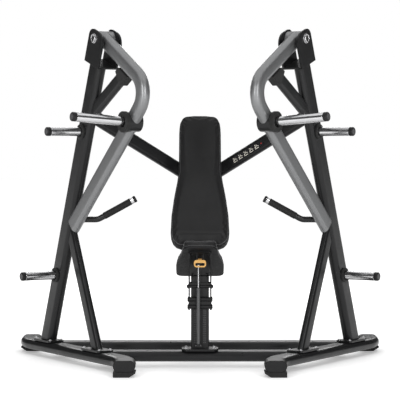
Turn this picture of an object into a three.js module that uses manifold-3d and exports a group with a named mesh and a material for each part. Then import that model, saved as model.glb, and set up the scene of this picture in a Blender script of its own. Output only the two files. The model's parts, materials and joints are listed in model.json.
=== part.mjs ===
// Plate-loaded chest press with two independent, converging press arms and an adjustable seat.
// Millimetres, +Z up. The user faces -Y. The origin is on the floor under the middle of the machine.
// The left half (negative X) is modelled, and the right half is its mirror image.
import * as THREE from "three";
import { mergeVertices } from "three/addons/utils/BufferGeometryUtils.js";
import Module from "manifold-3d";

const wasm = await Module();
wasm.setup();

// ---------------------------------------------------------------- driving dimensions
const GAP = 0.3; // air left between neighbouring pieces
const DEG = Math.PI / 180;

const FOOT_HEIGHT = 30;
const FOOT = { half: 60, length: 118, chamferAcross: 34, chamferUp: 22 };
const MAIN_TUBE = { wide: 120, thin: 60 }; // flat-oval tube of the rails, crossbars and uprights
const BRACE_TUBE = { wide: 80, thin: 40 }; // flat-oval tube of the legs, struts and back braces
const ARM_TUBE = { wide: 86, thin: 64 };
const LOWER_ARM_TUBE = { wide: 100, thin: 50 };
const RAIL_TOP = FOOT_HEIGHT + MAIN_TUBE.thin;
const RAIL_MIDDLE = FOOT_HEIGHT + MAIN_TUBE.thin / 2;

// Each side frame stands in a vertical plane that is turned in towards the middle at the front.
const TOE_IN = 33 * DEG;
const SIDE_CENTRE = { x: -706, y: 51 };

const RAIL_STRAIGHT = 969;
const RAIL_BEND_RADIUS = 250;
const RAIL_END_RUN = 97;
const CAP_THICKNESS = 9;

const FRONT_CROSSBAR_Y = -119;
const REAR_CROSSBAR_Y = 341;

// In a side frame: s runs forwards along the plane, z up, and y towards the middle of the machine.
const UPRIGHT_LEAN = 20.5 * DEG;
const PIVOT = { s: 331, z: 1812 };
const UPRIGHT_BEHIND_PIVOT = 11; // from the pivot back to the upright's centre line
const BRACKET_FLOOR = 135; // from the pivot down to the bracket's floor
const BRACKET_PLATE = 10;
const EAR_OFFSET = 52; // from the side plane to the inner face of an ear
const LEG = { s: 248.7, lean: 24.27 * DEG, length: 755 };
const BASE_PLATE = { length: 200, width: 100, thickness: 12 };

const SHAFT_RADIUS = 17.5;
const BUSH_RADIUS = 23;
const BARREL_RADIUS = 41;
const BARREL_HALF = 50;

// The press arm leaves the pivot forwards and down, and bends back to the plate horn's hub.
const ARM_DROP = 30.4 * DEG;
const ARM_FIRST_RUN = 414;
const ARM_BEND_RADIUS = 111;
const ARM_BEND = 106.5 * DEG;
const ARM_LAST_RUN = 106;
const HUB_RADIUS = 53.5;
const HUB_OUTER = 38;
const HUB_INNER = 40;
const LOWER_ARM_END = { s: 50, y: -36, z: 777 }; // just in front of the upright, and outside it
const LOADING_HORN_TILT = 4 * DEG;
const LOADING_HORN_END = 368;

const HORN_RADIUS = 25;
const STORAGE_HORN_END = 252;
const STORAGE_HORN_HEIGHTS = { upper: 1305, lower: 486 };

const STRUT_RISE = 30.3 * DEG;
const STRUT_START = { s: 150, z: 1373 };
const STRUT_LENGTH = 425;
const BUMPER = { wide: 92, thin: 52 };

const HANDLE = {
  radius: 17,
  start: -690,
  elbow: -570,
  y: -50,
  z: 815,
  rise: 28.9 * DEG,
  bend: 60,
  length: 242.5,
};
const GRIP = { radius: 19.5, from: 24, to: 205 };

const BRACE_TOP_HEIGHT = 1405;
const BRACE_FOOT = { y: 465, z: 1010 };
const BACK_POST = { width: 80, depth: 84, top: 1078 };

const BACKREST = { lean: 20 * DEG, y: 73, z: 650, length: 811, thickness: 60 };
const BACKREST_HALF = { foot: 108, wide: 170, waist: 124, top: 121 };
const BACKREST_PLATE = 8;
const BACKREST_BRACKET = { half: 24, middle: 270, armHeights: [780, 915] };

const SEAT = { rise: 27 * DEG, y: FRONT_CROSSBAR_Y, z: 570, front: 224, rear: 182, thickness: 55 };
const SEAT_HALF = { nose: 98, rear: 136 };
const SEAT_PLATE = 8;
const COLUMN = { width: 100, depth: 60, top: 505 };
const CARRIAGE = { inner: 56, plate: 8, depth: 90, bottom: 315, gussetReach: 108, gussetFoot: 470 };
const GAS_SPRING = { x: -9, y: -187, radius: 9.5, rod: 4, bottom: 130, top: 444, rodTop: 572 };
const LEVER_PIVOT = { y: -245, z: 600 };
const LEVER_LOOP = {
  y: -290,
  z: 584,
  width: 66,
  height: 40,
  sideBar: 7.5,
  topBar: 16,
  bottomBar: 8,
  thickness: 12,
};
const LEVER_PIN_RADIUS = 4;
const LEVER_EAR = { half: 15, thickness: 5, radius: 10, reach: 45 };

// ---------------------------------------------------------------- finishes
function finish(color, roughness, metalness) {
  return new THREE.MeshStandardMaterial({ color, roughness, metalness });
}
const FRAME_PAINT = finish(0x2b2c2e, 0.45, 0.3);
const ARM_PAINT = finish(0x6d6f72, 0.35, 0.6);
const CHROME = finish(0xc9cbce, 0.15, 1);
const BRONZE = finish(0x9a7440, 0.4, 0.9);
const BLACK_PLASTIC = finish(0x121213, 0.6, 0);
const RUBBER = finish(0x161616, 0.9, 0);
const UPHOLSTERY = finish(0x101011, 0.7, 0);
const LEVER_FINISH = finish(0xc98a2b, 0.4, 0.3);

// ---------------------------------------------------------------- solids
function asSolid(geometry) {
  const bare = geometry.clone();
  bare.deleteAttribute("normal");
  bare.deleteAttribute("uv");
  const merged = mergeVertices(bare, 1e-4);
  const corners = merged.index.array;
  const triangles = [];
  for (let i = 0; i < corners.length; i += 3) {
    const [a, b, c] = [corners[i], corners[i + 1], corners[i + 2]];
    if (a !== b && b !== c && c !== a) {
      triangles.push(a, b, c);
    }
  }
  const mesh = new wasm.Mesh({
    numProp: 3,
    vertProperties: new Float32Array(merged.attributes.position.array),
    triVerts: new Uint32Array(triangles),
  });
  return new wasm.Manifold(mesh);
}

function asGeometry(solid) {
  const mesh = solid.getMesh();
  const geometry = new THREE.BufferGeometry();
  geometry.setAttribute("position", new THREE.BufferAttribute(new Float32Array(mesh.vertProperties), 3));
  geometry.setIndex(new THREE.BufferAttribute(new Uint32Array(mesh.triVerts), 1));
  geometry.computeVertexNormals();
  return geometry;
}

function join(...geometries) {
  return asGeometry(geometries.map(asSolid).reduce((whole, piece) => whole.add(piece)));
}

function cut(geometry, ...tools) {
  return asGeometry(tools.map(asSolid).reduce((whole, tool) => whole.subtract(tool), asSolid(geometry)));
}

// ---------------------------------------------------------------- outlines and basic forms
const vec = (x, y, z) => new THREE.Vector3(x, y, z);
const UP = vec(0, 0, 1);

function flatOval({ wide, thin }, grow = 0) {
  const half = (wide - thin) / 2;
  const radius = thin / 2 + grow;
  const shape = new THREE.Shape();
  shape.absarc(0, half, radius, 0, Math.PI, false);
  shape.absarc(0, -half, radius, Math.PI, 2 * Math.PI, false);
  return shape;
}

function roundedRect(width, height, radius) {
  const [x, y] = [width / 2 - radius, height / 2 - radius];
  const shape = new THREE.Shape();
  shape.absarc(x, y, radius, 0, Math.PI / 2, false);
  shape.absarc(-x, y, radius, Math.PI / 2, Math.PI, false);
  shape.absarc(-x, -y, radius, Math.PI, 1.5 * Math.PI, false);
  shape.absarc(x, -y, radius, 1.5 * Math.PI, 2 * Math.PI, false);
  return shape;
}

function circle(radius) {
  return new THREE.Shape().absarc(0, 0, radius, 0, 2 * Math.PI, false);
}

function polygon(points) {
  return new THREE.Shape(points.map(([x, y]) => new THREE.Vector2(x, y)));
}

// Extrudes a shape from `from` to `to`; the shape's own Y lies as near to `wideAlong` as it can.
function prism(shape, from, to, wideAlong, segments = 5) {
  const axis = to.clone().sub(from);
  const geometry = new THREE.ExtrudeGeometry(shape, {
    depth: axis.length(),
    bevelEnabled: false,
    curveSegments: segments,
  });
  const z = axis.normalize();
  const x = wideAlong.clone().cross(z).normalize();
  const y = z.clone().cross(x);
  return geometry.applyMatrix4(new THREE.Matrix4().makeBasis(x, y, z).setPosition(from));
}

function box(low, high) {
  const size = high.clone().sub(low);
  const middle = high.clone().add(low).multiplyScalar(0.5);
  return new THREE.BoxGeometry(size.x, size.y, size.z).translate(middle.x, middle.y, middle.z);
}

// Turns a profile of [radius, height] points about the line from `from` towards `to`.
function turned(profile, from, to, segments = 20) {
  const geometry = new THREE.LatheGeometry(profile.map(([r, h]) => new THREE.Vector2(r, h)), segments);
  const direction = to.clone().sub(from).normalize();
  const turn = new THREE.Quaternion().setFromUnitVectors(vec(0, 1, 0), direction);
  return geometry.applyQuaternion(turn).translate(from.x, from.y, from.z);
}

function rod(radius, from, to, segments = 20) {
  const length = to.distanceTo(from);
  return turned([[0, 0], [radius, 0], [radius, length], [0, length]], from, to, segments);
}

function sleeve(inner, outer, from, to, segments = 20) {
  const length = to.distanceTo(from);
  const profile = [[inner, 0], [outer, 0], [outer, length], [inner, length], [inner, 0]];
  return turned(profile, from, to, segments);
}

// A flat path of straight runs and arcs, kept as the points and headings where sections stand.
class BentPath extends THREE.Curve {
  constructor(start, heading, moves, place, stepAngle = 12 * DEG) {
    super();
    this.stations = [];
    const at = { u: start[0], v: start[1], heading };
    const mark = () => {
      const point = place(at.u, at.v);
      const ahead = place(at.u + Math.cos(at.heading), at.v + Math.sin(at.heading));
      this.stations.push({ point, tangent: ahead.sub(point).normalize() });
    };
    mark();
    for (const { run = 0, turn = 0, radius = 0 } of moves) {
      const steps = turn ? Math.ceil(Math.abs(turn) / stepAngle) : 1;
      const step = turn ? 2 * radius * Math.sin(Math.abs(turn) / steps / 2) : run;
      for (let i = 0; i < steps; i += 1) {
        at.heading += turn / steps / 2;
        at.u += step * Math.cos(at.heading);
        at.v += step * Math.sin(at.heading);
        at.heading += turn / steps / 2;
        mark();
      }
    }
  }

  get steps() {
    return this.stations.length - 1;
  }

  station(u) {
    return this.stations[Math.round(u * this.steps)];
  }

  getPoint(u, target = vec(0, 0, 0)) {
    return target.copy(this.station(u).point);
  }

  getPointAt(u, target) {
    return this.getPoint(u, target);
  }

  getTangentAt(u, target = vec(0, 0, 0)) {
    return target.copy(this.station(u).tangent);
  }
}

function bentTube(shape, path, segments = 5) {
  return new THREE.ExtrudeGeometry(shape, {
    steps: path.steps,
    extrudePath: path,
    curveSegments: segments,
  });
}

// ---------------------------------------------------------------- the left side frame's own axes
const sideMatrix = new THREE.Matrix4()
  .makeRotationZ(TOE_IN - 90 * DEG)
  .setPosition(SIDE_CENTRE.x, SIDE_CENTRE.y, 0);
const inSide = (geometry) => geometry.clone().applyMatrix4(sideMatrix);
const sidePoint = (s, y, z) => vec(s, y, z).applyMatrix4(sideMatrix);

const uprightAxis = vec(Math.sin(UPRIGHT_LEAN), 0, Math.cos(UPRIGHT_LEAN));
const uprightAcross = vec(Math.cos(UPRIGHT_LEAN), 0, -Math.sin(UPRIGHT_LEAN));
const pivotPoint = vec(PIVOT.s, 0, PIVOT.z);
const atY = (point, y) => point.clone().setY(y);

// A point of the pivot bracket: `across` the upright and `along` it, from the pivot.
function fromPivot(across, along) {
  return pivotPoint.clone().addScaledVector(uprightAcross, across).addScaledVector(uprightAxis, along);
}

// The point of the upright's centre line at height z.
function onUpright(z) {
  const top = fromPivot(-UPRIGHT_BEHIND_PIVOT, 0);
  return top.addScaledVector(uprightAxis, (z - top.z) / uprightAxis.z);
}

const belowRailTop = box(vec(-3000, -3000, -500), vec(3000, 3000, RAIL_TOP + GAP));

// ---------------------------------------------------------------- base
function railSolid(grow) {
  const bendAcross = RAIL_BEND_RADIUS * (1 - Math.cos(TOE_IN));
  const bendAlong = RAIL_BEND_RADIUS * Math.sin(TOE_IN);
  const endS = RAIL_STRAIGHT / 2 + bendAlong + RAIL_END_RUN * Math.cos(TOE_IN);
  const endY = bendAcross + RAIL_END_RUN * Math.sin(TOE_IN);
  const moves = [
    { run: RAIL_END_RUN },
    { turn: TOE_IN, radius: RAIL_BEND_RADIUS },
    { run: RAIL_STRAIGHT },
    { turn: -TOE_IN, radius: RAIL_BEND_RADIUS },
    { run: RAIL_END_RUN },
  ];
  const path = new BentPath([-endS, endY], -TOE_IN, moves, (u, v) => vec(u, v, RAIL_MIDDLE));
  return { geometry: inSide(bentTube(flatOval(MAIN_TUBE, grow), path)), endS, endY };
}

const rail = railSolid(0);
const railRoom = railSolid(GAP).geometry;
const mirrored = (geometry) => asGeometry(asSolid(geometry).mirror([1, 0, 0]));

function crossbar(y) {
  const reach = 900;
  const [start, end] = [-reach, reach].map((x) => vec(x, y, RAIL_MIDDLE));
  const bar = prism(flatOval(MAIN_TUBE), start, end, vec(0, 1, 0));
  const railCrossing = -sidePoint((SIDE_CENTRE.y - y) / Math.cos(TOE_IN), 0, 0).x;
  const beyondRail = box(vec(railCrossing, y - 200, 0), vec(2 * reach, y + 200, 200));
  return cut(bar, beyondRail, mirrored(beyondRail), railRoom, mirrored(railRoom));
}

// The rail's end at the front (sign 1) or the rear (sign -1): its middle, and the way it points.
function railEnd(sign) {
  return {
    point: sidePoint(sign * rail.endS, -sign * rail.endY, 0),
    out: vec(0, -sign, 0),
  };
}

function railCap(sign) {
  const { point, out } = railEnd(sign);
  const start = point.clone().addScaledVector(out, GAP).setZ(RAIL_MIDDLE);
  const end = start.clone().addScaledVector(out, CAP_THICKNESS);
  return prism(flatOval(MAIN_TUBE), start, end, vec(1, 0, 0));
}

// A rubber foot under a rail's end, chamfered along the lower edge of one side.
function foot(sign) {
  const { point, out } = railEnd(sign);
  const { half, length, chamferAcross, chamferUp } = FOOT;
  const top = FOOT_HEIGHT - GAP;
  const outline = polygon([
    [chamferAcross - half, 0], [half, 0], [half, top], [-half, top], [-half, chamferUp],
  ]);
  const start = point.clone().addScaledVector(out, CAP_THICKNESS - 2);
  return prism(outline, start, start.clone().addScaledVector(out, -length), UP);
}

// ---------------------------------------------------------------- uprights, legs and bracket
const upFrom = onUpright(60);
const upTo = fromPivot(-UPRIGHT_BEHIND_PIVOT, -BRACKET_FLOOR - BRACKET_PLATE - GAP);

function uprightTube(grow) {
  return inSide(prism(flatOval(MAIN_TUBE, grow), upFrom, upTo, uprightAcross));
}

function basePlate(s) {
  const { length, width, thickness } = BASE_PLATE;
  const from = vec(s, 0, RAIL_TOP + GAP);
  const to = from.clone().setZ(from.z + thickness);
  return inSide(prism(roundedRect(width, length, 12), from, to, vec(1, 0, 0), 2));
}

const uprightRoom = uprightTube(GAP);
const upright = join(cut(uprightTube(0), belowRailTop), basePlate(onUpright(96).x));

function frontLeg() {
  const along = vec(-Math.sin(LEG.lean), 0, Math.cos(LEG.lean));
  const across = vec(Math.cos(LEG.lean), 0, Math.sin(LEG.lean));
  const middle = vec(LEG.s, 0, RAIL_TOP + BASE_PLATE.thickness);
  const from = middle.clone().addScaledVector(along, -40);
  const to = middle.clone().addScaledVector(along, LEG.length);
  const tube = inSide(prism(flatOval(BRACE_TUBE), from, to, across));
  return join(cut(tube, belowRailTop, uprightRoom), basePlate(LEG.s));
}

function pivotBracket() {
  const [rear, front, top, bottom] = [-62, 98, 47, -BRACKET_FLOOR - BRACKET_PLATE];
  const [rearRound, frontRound] = [42, 66];
  const ear = new THREE.Shape();
  ear.moveTo(rear, bottom);
  ear.lineTo(front, bottom);
  ear.absarc(front - frontRound, top - frontRound, frontRound, 0, Math.PI / 2, false);
  ear.absarc(rear + rearRound, top - rearRound, rearRound, Math.PI / 2, Math.PI, false);
  ear.holes.push(new THREE.Path().absarc(0, 0, SHAFT_RADIUS + GAP, 0, 2 * Math.PI, true));
  const plates = [-1, 1].map((side) => {
    const start = atY(pivotPoint, side > 0 ? EAR_OFFSET + BRACKET_PLATE : -EAR_OFFSET);
    const end = atY(start, start.y - BRACKET_PLATE);
    return inSide(prism(ear, start, end, uprightAxis, 10));
  });
  const width = EAR_OFFSET + BRACKET_PLATE / 2;
  const floorShape = polygon([[-width, rear], [width, rear], [width, front], [-width, front]]);
  const [floorUnder, floorTop] = [bottom, bottom + BRACKET_PLATE].map((along) => fromPivot(0, along));
  return join(inSide(prism(floorShape, floorUnder, floorTop, uprightAcross)), ...plates);
}

function pivotShaft() {
  const half = EAR_OFFSET + BRACKET_PLATE + GAP;
  const [head, headRadius] = [11, 23];
  const length = 2 * (half + head);
  const profile = [
    [0, 4], [10, 4], [13, 0], [headRadius - 3, 0], [headRadius, 3], [headRadius, head],
    [SHAFT_RADIUS, head], [SHAFT_RADIUS, length - head], [headRadius, length - head],
    [headRadius, length - 3], [headRadius - 3, length], [0, length],
  ];
  return inSide(turned(profile, atY(pivotPoint, -length / 2), atY(pivotPoint, length / 2)));
}

// ---------------------------------------------------------------- press arm
const armMoves = [
  { run: ARM_FIRST_RUN },
  { turn: -ARM_BEND, radius: ARM_BEND_RADIUS },
  { run: ARM_LAST_RUN },
];
const armLine = new BentPath([PIVOT.s, PIVOT.z], -ARM_DROP, armMoves, (s, z) => vec(s, 0, z));
const upperArmTube = (grow) => bentTube(flatOval(ARM_TUBE, grow), armLine);
const hubPoint = armLine.stations.at(-1).point;

function pressArm() {
  const barrel = rod(BARREL_RADIUS, atY(pivotPoint, -BARREL_HALF), atY(pivotPoint, BARREL_HALF), 24);
  const hub = rod(HUB_RADIUS, atY(hubPoint, -HUB_OUTER), atY(hubPoint, HUB_INNER), 28);
  const bore = rod(BUSH_RADIUS + GAP, atY(pivotPoint, -100), atY(pivotPoint, 100));
  return inSide(cut(join(upperArmTube(0), barrel, hub), bore));
}

function pivotBush() {
  const [from, to] = [-BARREL_HALF, BARREL_HALF].map((y) => atY(pivotPoint, y));
  return inSide(sleeve(SHAFT_RADIUS + 0.5, BUSH_RADIUS, from, to));
}

const lowerArmEnd = vec(LOWER_ARM_END.s, LOWER_ARM_END.y, LOWER_ARM_END.z);
const lowerArmAcross = vec(hubPoint.z - lowerArmEnd.z, 0, lowerArmEnd.x - hubPoint.x).normalize();
const lowerArmTube = (grow) =>
  prism(flatOval(LOWER_ARM_TUBE, grow), hubPoint, lowerArmEnd, lowerArmAcross);

function lowerArm() {
  const hubRoom = rod(HUB_RADIUS + GAP, atY(hubPoint, -60), atY(hubPoint, 60), 28);
  return inSide(cut(lowerArmTube(0), hubRoom, upperArmTube(GAP)));
}

const COLLAR = { bore: 26, wideBore: 30, loading: 57, storage: 42, thickness: 12, loadingThickness: 24 };

function loadingCollar() {
  const from = atY(hubPoint, -HUB_OUTER - GAP);
  return inSide(sleeve(COLLAR.wideBore, COLLAR.loading, from, atY(from, from.y - COLLAR.loadingThickness)));
}

// A chrome horn with a rounded end, from `from` to `to`.
function horn(from, to) {
  const length = to.distanceTo(from);
  const round = 5;
  const profile = [
    [0, 0], [HORN_RADIUS, 0], [HORN_RADIUS, length - round],
    [HORN_RADIUS - 1.5, length - 1.5], [HORN_RADIUS - round, length], [0, length],
  ];
  return inSide(turned(profile, from, to));
}

function loadingHorn() {
  const along = vec(0, -Math.cos(LOADING_HORN_TILT), Math.sin(LOADING_HORN_TILT));
  const root = HUB_OUTER + GAP + HORN_RADIUS * Math.sin(LOADING_HORN_TILT);
  return horn(
    hubPoint.clone().addScaledVector(along, root),
    hubPoint.clone().addScaledVector(along, LOADING_HORN_END),
  );
}

function storageHorn(height) {
  const root = MAIN_TUBE.thin / 2 + GAP;
  return horn(onUpright(height).setY(-root), onUpright(height).setY(-STORAGE_HORN_END));
}

function storageCollar(height) {
  const root = MAIN_TUBE.thin / 2 + GAP;
  const from = onUpright(height).setY(-root);
  return inSide(sleeve(COLLAR.bore, COLLAR.storage, from, atY(from, -root - COLLAR.thickness)));
}

// ---------------------------------------------------------------- bumper
const strutAlong = vec(Math.cos(STRUT_RISE), 0, Math.sin(STRUT_RISE));
const strutAcross = vec(-Math.sin(STRUT_RISE), 0, Math.cos(STRUT_RISE));
const strutFrom = vec(STRUT_START.s, 0, STRUT_START.z);
const onStrut = (along, across) =>
  strutFrom.clone().addScaledVector(strutAlong, along).addScaledVector(strutAcross, across);

function bumperStrut() {
  const tube = prism(flatOval(BRACE_TUBE), strutFrom, onStrut(STRUT_LENGTH, 0), strutAcross);
  return cut(inSide(tube), uprightRoom);
}

// The rubber bumper's end is parallel to the underside of the arm that rests on it.
function bumperPad() {
  const armUnder = vec(-Math.sin(ARM_DROP), 0, -Math.cos(ARM_DROP));
  const contact = pivotPoint.clone().addScaledVector(armUnder, ARM_TUBE.wide / 2 + GAP);
  const half = BUMPER.wide / 2;
  const reach = (across) => {
    const toArm = contact.clone().sub(onStrut(0, across));
    return toArm.dot(armUnder) / strutAlong.dot(armUnder);
  };
  const corners = [
    [STRUT_LENGTH + GAP, -half], [reach(-half), -half], [reach(half), half], [STRUT_LENGTH + GAP, half],
  ];
  const from = strutFrom.clone().setY(BUMPER.thin / 2);
  return inSide(prism(polygon(corners), from, atY(from, -BUMPER.thin / 2), strutAcross));
}

// ---------------------------------------------------------------- handle
const handlePath = new BentPath(
  [HANDLE.start, HANDLE.z],
  0,
  [
    { run: HANDLE.elbow - HANDLE.start - HANDLE.bend * Math.tan(HANDLE.rise / 2) },
    { turn: HANDLE.rise, radius: HANDLE.bend },
    { run: HANDLE.length - HANDLE.bend * Math.tan(HANDLE.rise / 2) },
  ],
  (x, z) => vec(x, HANDLE.y, z),
);

function handleTube() {
  return cut(bentTube(circle(HANDLE.radius), handlePath, 8), inSide(lowerArmTube(GAP)));
}

function handGrip() {
  const { point, tangent } = handlePath.stations.at(-2);
  const at = (distance) => point.clone().addScaledVector(tangent, distance);
  return sleeve(HANDLE.radius + 2 * GAP, GRIP.radius, at(GRIP.from), at(GRIP.to), 16);
}

// ---------------------------------------------------------------- back support
const postSlope = (BRACE_FOOT.y - REAR_CROSSBAR_Y) / (BRACE_FOOT.z - RAIL_TOP);
const onPost = (z) => vec(0, REAR_CROSSBAR_Y + postSlope * (z - RAIL_TOP), z);

function postTube(grow) {
  const shape = roundedRect(BACK_POST.width + 2 * grow, BACK_POST.depth + 2 * grow, 10 + grow);
  return prism(shape, onPost(40), onPost(BACK_POST.top + 40), vec(0, 1, 0), 2);
}

const postRoom = postTube(GAP);

function backPost() {
  const above = box(vec(-200, 0, BACK_POST.top), vec(200, 900, 1400));
  const foot = onPost(RAIL_TOP).setZ(RAIL_TOP + GAP);
  const plateTop = foot.clone().setZ(foot.z + BASE_PLATE.thickness);
  const plate = prism(roundedRect(96, 110, 12), foot, plateTop, vec(0, 1, 0), 2);
  return join(cut(postTube(0), belowRailTop, above), plate);
}

function backBrace() {
  const top = onUpright(BRACE_TOP_HEIGHT).applyMatrix4(sideMatrix);
  const bottom = vec(0, BRACE_FOOT.y, BRACE_FOOT.z);
  return cut(prism(flatOval(BRACE_TUBE), top, bottom, UP), uprightRoom, postRoom);
}

const backAlong = vec(0, Math.sin(BACKREST.lean), Math.cos(BACKREST.lean));
const backBehind = vec(0, Math.cos(BACKREST.lean), -Math.sin(BACKREST.lean));
// A point of the backrest: `along` its front face from the bottom edge, and `behind` that face.
const onBack = (along, behind, x = 0) =>
  vec(x, BACKREST.y, BACKREST.z).addScaledVector(backAlong, along).addScaledVector(backBehind, behind);

function backrestOutline() {
  const { foot, wide, waist, top } = BACKREST_HALF;
  const { length } = BACKREST;
  const shape = new THREE.Shape();
  const corner = 72;
  shape.moveTo(foot, 0);
  shape.bezierCurveTo(wide - 20, 6, wide, 42, wide, 100);
  shape.bezierCurveTo(wide, 250, waist + 13, 380, waist, 470);
  shape.lineTo(top, length - corner);
  shape.bezierCurveTo(top, length - 22, top - 22, length, top - corner, length);
  shape.lineTo(corner - top, length);
  shape.bezierCurveTo(22 - top, length, -top, length - 22, -top, length - corner);
  shape.lineTo(-waist, 470);
  shape.bezierCurveTo(-waist - 13, 380, -wide, 250, -wide, 100);
  shape.bezierCurveTo(-wide, 42, 20 - wide, 6, -foot, 0);
  return shape;
}

function backrestPad() {
  return prism(backrestOutline(), onBack(0, BACKREST.thickness), onBack(0, 0), backAlong, 4);
}

function backrestBracket() {
  const { half, middle, armHeights } = BACKREST_BRACKET;
  const near = BACKREST.thickness + GAP;
  const [plateBack, plateFront] = [near + BACKREST_PLATE, near].map((behind) => onBack(middle, behind));
  const plate = prism(roundedRect(150, 400, 14), plateBack, plateFront, backAlong, 2);
  const arms = armHeights.map((height) => {
    const insidePlate = near + BACKREST_PLATE / 2;
    const along = (height - BACKREST.z) / backAlong.z + insidePlate * Math.tan(BACKREST.lean);
    const front = onBack(along, insidePlate);
    return box(vec(-half, front.y, front.z - half), vec(half, onPost(height).y, front.z + half));
  });
  const padRoom = prism(roundedRect(600, 1000, 5), onBack(middle, -20), onBack(middle, near), backAlong, 1);
  return cut(join(plate, ...arms), postRoom, padRoom);
}

// ---------------------------------------------------------------- seat
const seatForward = vec(0, -Math.cos(SEAT.rise), Math.sin(SEAT.rise));
const seatUp = vec(0, Math.sin(SEAT.rise), Math.cos(SEAT.rise));
// A point of the seat: `forward` of the column along the pad's underside, and `above` that face.
const onSeat = (forward, above, x = 0) =>
  vec(x, SEAT.y, SEAT.z).addScaledVector(seatForward, forward).addScaledVector(seatUp, above);

function seatOutline() {
  const { nose, rear } = SEAT_HALF;
  const { front, rear: back } = SEAT;
  const shape = new THREE.Shape();
  shape.moveTo(rear - 45, -back);
  shape.quadraticCurveTo(rear, -back, rear, -back + 45);
  shape.lineTo(rear, -40);
  shape.bezierCurveTo(rear, 40, nose + 6, 70, nose, front - 45);
  shape.quadraticCurveTo(nose, front, nose - 45, front);
  shape.lineTo(45 - nose, front);
  shape.quadraticCurveTo(-nose, front, -nose, front - 45);
  shape.bezierCurveTo(-nose - 6, 70, -rear, 40, -rear, -40);
  shape.lineTo(-rear, -back + 45);
  shape.quadraticCurveTo(-rear, -back, 45 - rear, -back);
  return shape;
}

function seatPad() {
  return prism(seatOutline(), onSeat(0, GAP), onSeat(0, SEAT.thickness), seatForward, 4);
}

const leverPinRoom = rod(
  LEVER_PIN_RADIUS + GAP,
  vec(-60, LEVER_PIVOT.y, LEVER_PIVOT.z),
  vec(60, LEVER_PIVOT.y, LEVER_PIVOT.z),
  16,
);

function seatBracket() {
  const plate = prism(roundedRect(128, 330, 12), onSeat(15, -SEAT_PLATE), onSeat(15, 0), seatForward, 2);
  const lug = box(
    vec(GAS_SPRING.x - 14, GAS_SPRING.y - 9, GAS_SPRING.rodTop + GAP),
    vec(GAS_SPRING.x + 14, GAS_SPRING.y + 9, GAS_SPRING.rodTop + 45),
  );
  const { half, thickness, radius, reach } = LEVER_EAR;
  const ears = [-half - thickness, half].map((x) =>
    box(
      vec(x, LEVER_PIVOT.y - radius, LEVER_PIVOT.z - radius),
      vec(x + thickness, LEVER_PIVOT.y + radius, LEVER_PIVOT.z + reach),
    ),
  );
  const above = prism(roundedRect(400, 800, 5), onSeat(0, 0), onSeat(0, 100), seatForward, 1);
  return cut(join(plate, lug, ...ears), above, leverPinRoom);
}

function seatCarriage() {
  const { inner, plate, depth, bottom, gussetReach, gussetFoot } = CARRIAGE;
  const [front, rear] = [SEAT.y - depth / 2, SEAT.y + depth / 2];
  const plateRoom = (SEAT_PLATE + GAP) / Math.cos(SEAT.rise);
  const under = (y) => SEAT.z - (y - SEAT.y) * Math.tan(SEAT.rise) - plateRoom;
  const tip = front - gussetReach;
  const outline = polygon([
    [front + 14, bottom], [rear - 14, bottom], [rear, bottom + 30], [rear, under(rear)],
    [tip, under(tip)], [tip, under(tip) - 26], [front, gussetFoot], [front, bottom + 30],
  ]);
  const sides = [inner + plate, -inner].map((x) => {
    const geometry = new THREE.ExtrudeGeometry(outline, { depth: plate, bevelEnabled: false });
    const basis = new THREE.Matrix4().makeBasis(vec(0, 1, 0), vec(0, 0, 1), vec(1, 0, 0));
    return geometry.applyMatrix4(basis.setPosition(x - plate, 0, 0));
  });
  const strips = [];
  for (const z of [bottom + 38, bottom + 140]) {
    for (const y of [front + 4, rear - 4]) {
      strips.push(box(vec(-inner - 2, y - 4, z - 13), vec(inner + 2, y + 4, z + 13)));
    }
  }
  return join(...sides, ...strips);
}

function seatColumn() {
  const { width, depth, top } = COLUMN;
  const y = FRONT_CROSSBAR_Y;
  const base = RAIL_TOP + GAP;
  const tube = prism(roundedRect(width, depth, 8), vec(0, y, base), vec(0, y, top), vec(0, 1, 0), 2);
  const chamfer = 22;
  const [halfX, halfY] = [101, 66];
  const [cutX, cutY] = [halfX - chamfer, halfY - chamfer];
  const plateShape = polygon([
    [-halfX, -cutY], [-cutX, -halfY], [cutX, -halfY], [halfX, -cutY],
    [halfX, cutY], [cutX, halfY], [-cutX, halfY], [-halfX, cutY],
  ]);
  const plate = prism(plateShape, vec(0, y, base), vec(0, y, base + BASE_PLATE.thickness), vec(0, 1, 0));
  const lug = box(
    vec(GAS_SPRING.x - 13, GAS_SPRING.y - 11, GAS_SPRING.bottom - 14),
    vec(GAS_SPRING.x + 13, y, GAS_SPRING.bottom - GAP),
  );
  return join(tube, plate, lug);
}

function gasSpringCylinder() {
  const { x, y, radius, rod: stem, bottom, top } = GAS_SPRING;
  const height = top - bottom;
  const bore = stem + 0.8;
  const profile = [
    [0, 0], [radius - 2, 0], [radius, 3], [radius, height - 3], [radius - 2, height],
    [bore, height], [bore, 60], [0, 60],
  ];
  return turned(profile, vec(x, y, bottom), vec(x, y, top), 20);
}

function gasSpringRod() {
  const { x, y, rod: stem, rodTop } = GAS_SPRING;
  const length = rodTop - 290;
  const profile = [[0, 0], [stem, 0], [stem, length - 16], [8, length - 14], [8, length], [0, length]];
  return turned(profile, vec(x, y, 290), vec(x, y, rodTop), 20);
}

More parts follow.
